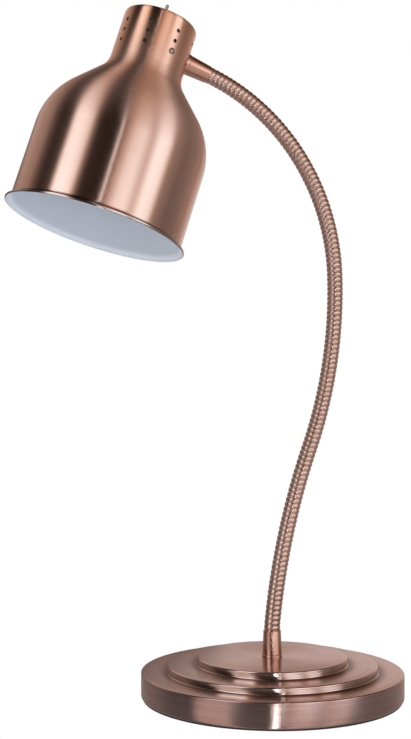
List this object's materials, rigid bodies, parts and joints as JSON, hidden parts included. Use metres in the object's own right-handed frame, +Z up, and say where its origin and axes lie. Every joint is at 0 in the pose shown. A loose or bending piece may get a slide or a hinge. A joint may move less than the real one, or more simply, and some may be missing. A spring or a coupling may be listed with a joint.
{
  "type": "food heat lamp",
  "caption": "Counter-top food heat lamp: stepped round weighted base, ribbed bendable gooseneck and a bell shade with a vented neck, reflector bulb and top toggle switch.",
  "frame": {"origin": "middle of the flat foot, on the table", "axes": "+Z up; the gooseneck lies in the XZ plane with the shade towards -X; the lead inlet is at the back, towards +X"},
  "size_m": [0.4184, 0.27, 0.6996],
  "materials": {
    "spun_copper": "copper-plated, lathe-brushed outside; shade white-enamelled inside",
    "hose_copper": "copper-plated ribbed hose",
    "ferrule_copper": "polished copper plate",
    "zinc_steel": "bright zinc",
    "chrome": "polished",
    "brass": "plain turned",
    "cast_iron": "black dip",
    "foot_rubber": "matt",
    "lead_sheath": "matt",
    "ceramic": "glazed",
    "bulb_glass": "frosted pressed glass",
    "cap_alloy": "rolled thread",
    "switch_black": "moulded",
    "wire_sleeve": "woven glass sleeve"
  },
  "bodies": {
    "base": {"foot_pad": "foot_rubber", "base_plate": "zinc_steel", "base_weight": "cast_iron", "base_cover": "spun_copper", "inlet_grommet": "foot_rubber", "base_nipple": "brass", "nipple_washer": "zinc_steel", "nipple_nut": "zinc_steel", "lower_ferrule": "ferrule_copper", "hose_1": "hose_copper", "lead_1": "lead_sheath"},
    "stretch_2": {"hose_2": "hose_copper", "lead_2": "lead_sheath"},
    "stretch_3": {"hose_3": "hose_copper", "lead_3": "lead_sheath"},
    "stretch_4": {"hose_4": "hose_copper", "lead_4": "lead_sheath"},
    "stretch_5": {"hose_5": "hose_copper", "lead_5": "lead_sheath"},
    "stretch_6": {"hose_6": "hose_copper", "lead_6": "lead_sheath"},
    "stretch_7": {"hose_7": "hose_copper", "lead_7": "lead_sheath"},
    "stretch_8": {"hose_8": "hose_copper", "lead_8": "lead_sheath"},
    "head": {"hose_9": "hose_copper", "lead_9": "lead_sheath", "upper_ferrule": "ferrule_copper", "neck_nipple": "brass", "neck_nut": "zinc_steel", "shade": "spun_copper", "holder_strap": "zinc_steel", "strap_screws": "chrome", "lampholder": "ceramic", "holder_screws": "zinc_steel", "holder_shell": "brass", "holder_contact": "brass", "bulb_glass": "bulb_glass", "bulb_cap": "cap_alloy", "toggle_body": "switch_black", "toggle_terminals": "brass", "toggle_bush": "chrome", "toggle_nut": "chrome", "switch_wire": "wire_sleeve"},
    "lever": {"toggle_lever": "chrome"}
  },
  "joints": [
    {"name": "bend_1", "type": "hinge", "parent": "base", "child": "stretch_2", "pos_m": [0.01012, 0, 0.13916], "axis": [0, -1, 0], "range_deg": [-12, 12]},
    {"name": "sway_2", "type": "hinge", "parent": "stretch_2", "child": "stretch_3", "pos_m": [0.02769, 0, 0.20807], "axis": [0.9553, 0, -0.2957], "range_deg": [-12, 12]},
    {"name": "bend_3", "type": "hinge", "parent": "stretch_3", "child": "stretch_4", "pos_m": [0.0514, 0, 0.27513], "axis": [0, -1, 0], "range_deg": [-12, 12]},
    {"name": "bend_4", "type": "hinge", "parent": "stretch_4", "child": "stretch_5", "pos_m": [0.06882, 0, 0.34404], "axis": [0, -1, 0], "range_deg": [-12, 12]},
    {"name": "sway_5", "type": "hinge", "parent": "stretch_5", "child": "stretch_6", "pos_m": [0.07526, 0, 0.41481], "axis": [0.9999, 0, -0.0123], "range_deg": [-12, 12]},
    {"name": "bend_6", "type": "hinge", "parent": "stretch_6", "child": "stretch_7", "pos_m": [0.06764, 0, 0.4853], "axis": [0, -1, 0], "range_deg": [-12, 12]},
    {"name": "sway_7", "type": "hinge", "parent": "stretch_7", "child": "stretch_8", "pos_m": [0.03831, 0, 0.54977], "axis": [0.8307, 0, 0.5567], "range_deg": [-12, 12]},
    {"name": "bend_8", "type": "hinge", "parent": "stretch_8", "child": "head", "pos_m": [-0.01017, 0, 0.6014], "axis": [0, -1, 0], "range_deg": [-12, 12]},
    {"name": "switch_flip", "type": "hinge", "parent": "head", "child": "lever", "pos_m": [-0.12303, 0, 0.68556], "axis": [0.9472, 0, -0.3206], "range_deg": [-24, 0]}
  ]
}
